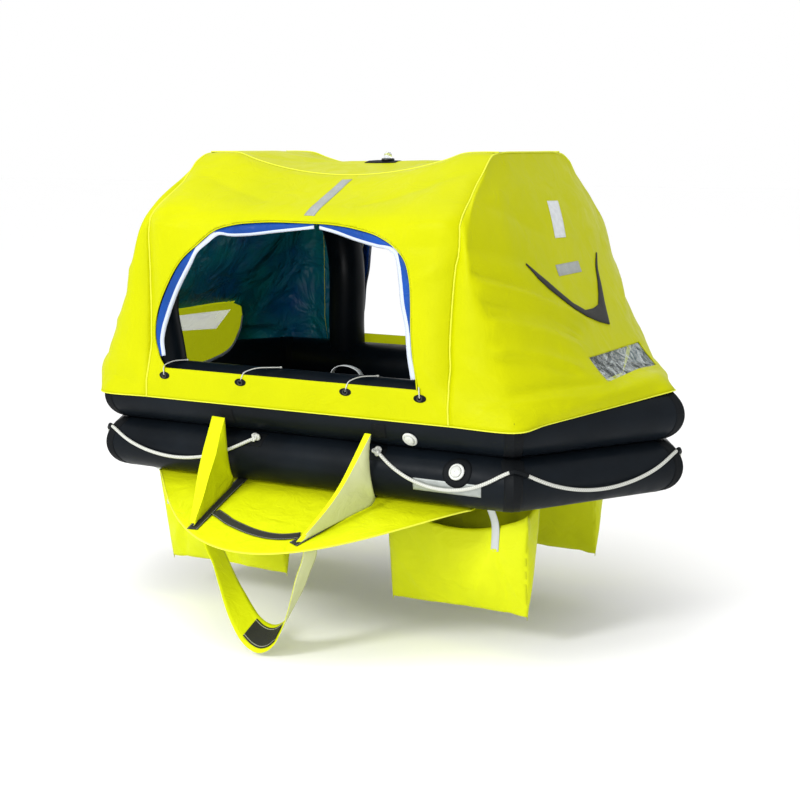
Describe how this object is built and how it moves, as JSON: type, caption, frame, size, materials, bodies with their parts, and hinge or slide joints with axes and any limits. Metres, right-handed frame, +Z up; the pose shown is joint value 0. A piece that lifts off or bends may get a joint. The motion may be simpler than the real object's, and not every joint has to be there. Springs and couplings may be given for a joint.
{
  "type": "life raft",
  "caption": "Inflatable life raft with stacked hexagonal tubes, arched canopy with doorways, ballast pockets, boarding ramp and swinging boarding step.",
  "frame": {"origin": "centre of the raft in the plane of the water that the empty raft floats in, 45 mm above the lower tube's bottom", "axes": "+X along the long side, to the end with the label; -Y toward the boarding ramp; +Z up"},
  "size_m": [2.5492, 1.712, 1.785],
  "materials": {
    "ballast_pocket_back_left": "coated canopy cloth",
    "ballast_pocket_back_right": "coated canopy cloth",
    "ballast_pocket_front_left": "coated canopy cloth",
    "ballast_pocket_front_right": "coated canopy cloth",
    "boarding_ramp": "coated canopy cloth",
    "canopy_arch_left": "coated tube fabric",
    "canopy_arch_right": "coated tube fabric",
    "canopy_back": "coated canopy cloth",
    "canopy_end_left": "coated canopy cloth",
    "canopy_end_right": "coated canopy cloth",
    "canopy_front": "coated canopy cloth",
    "canopy_lamp": "lamp dome",
    "canopy_roof": "coated canopy cloth",
    "door_binding_back": "binding tape",
    "door_binding_front": "binding tape",
    "door_curtain_back_left": "lining cloth",
    "door_curtain_back_right": "lining cloth",
    "door_curtain_front_left": "lining cloth",
    "door_curtain_front_right": "lining cloth",
    "end_tape_left": "reflective tape",
    "end_tape_right": "reflective tape",
    "floor": "coated tube fabric",
    "gas_bottle": "painted",
    "gusset_tab_left": "webbing",
    "gusset_tab_right": "webbing",
    "inflation_valve": "moulded",
    "label_plate": "blank label",
    "lamp_patch": "patch",
    "life_line_left": "braided rope",
    "life_line_right": "braided rope",
    "lower_tube": "coated tube fabric",
    "pocket_strap_back_left": "webbing",
    "pocket_strap_back_right": "webbing",
    "pocket_strap_front_left": "webbing",
    "pocket_strap_front_right": "webbing",
    "rain_gutter_left": "webbing",
    "rain_gutter_right": "webbing",
    "ramp_band_curved": "webbing",
    "ramp_band_left": "webbing",
    "ramp_band_right": "webbing",
    "ramp_gusset_left": "coated canopy cloth",
    "ramp_gusset_right": "coated canopy cloth",
    "relief_valve": "moulded",
    "ridge_spar": "coated tube fabric",
    "roof_tape_back": "reflective tape",
    "roof_tape_front": "reflective tape",
    "sill_handle": "webbing",
    "step_grip": "webbing",
    "step_loop": "coated canopy cloth",
    "tube_tape_back": "reflective tape",
    "tube_tape_front": "reflective tape",
    "upper_tube": "coated tube fabric",
    "window_flap_left": "coated canopy cloth",
    "window_flap_right": "coated canopy cloth",
    "window_left": "clear film",
    "window_right": "clear film"
  },
  "bodies": {
    "raft": {"ballast_pocket_back_left": "ballast_pocket_back_left", "ballast_pocket_back_right": "ballast_pocket_back_right", "ballast_pocket_front_left": "ballast_pocket_front_left", "ballast_pocket_front_right": "ballast_pocket_front_right", "boarding_ramp": "boarding_ramp", "canopy_arch_left": "canopy_arch_left", "canopy_arch_right": "canopy_arch_right", "canopy_back": "canopy_back", "canopy_end_left": "canopy_end_left", "canopy_end_right": "canopy_end_right", "canopy_front": "canopy_front", "canopy_lamp": "canopy_lamp", "canopy_roof": "canopy_roof", "door_binding_back": "door_binding_back", "door_binding_front": "door_binding_front", "door_curtain_back_left": "door_curtain_back_left", "door_curtain_back_right": "door_curtain_back_right", "door_curtain_front_left": "door_curtain_front_left", "door_curtain_front_right": "door_curtain_front_right", "end_tape_left": "end_tape_left", "end_tape_right": "end_tape_right", "floor": "floor", "gas_bottle": "gas_bottle", "gusset_tab_left": "gusset_tab_left", "gusset_tab_right": "gusset_tab_right", "inflation_valve": "inflation_valve", "label_plate": "label_plate", "lamp_patch": "lamp_patch", "life_line_left": "life_line_left", "life_line_right": "life_line_right", "lower_tube": "lower_tube", "pocket_strap_back_left": "pocket_strap_back_left", "pocket_strap_back_right": "pocket_strap_back_right", "pocket_strap_front_left": "pocket_strap_front_left", "pocket_strap_front_right": "pocket_strap_front_right", "rain_gutter_left": "rain_gutter_left", "rain_gutter_right": "rain_gutter_right", "ramp_band_curved": "ramp_band_curved", "ramp_band_left": "ramp_band_left", "ramp_band_right": "ramp_band_right", "ramp_gusset_left": "ramp_gusset_left", "ramp_gusset_right": "ramp_gusset_right", "relief_valve": "relief_valve", "ridge_spar": "ridge_spar", "roof_tape_back": "roof_tape_back", "roof_tape_front": "roof_tape_front", "sill_handle": "sill_handle", "tube_tape_back": "tube_tape_back", "tube_tape_front": "tube_tape_front", "upper_tube": "upper_tube", "window_flap_left": "window_flap_left", "window_flap_right": "window_flap_right", "window_left": "window_left", "window_right": "window_right"},
    "boarding_step": {"step_loop": "step_loop", "step_grip": "step_grip"}
  },
  "joints": [
    {"name": "boarding_step_swing", "type": "hinge", "parent": "raft", "child": "boarding_step", "pos_m": [0, -0.89, -0.1929], "axis": [1, 0, 0], "range_deg": [-45, 45]}
  ]
}
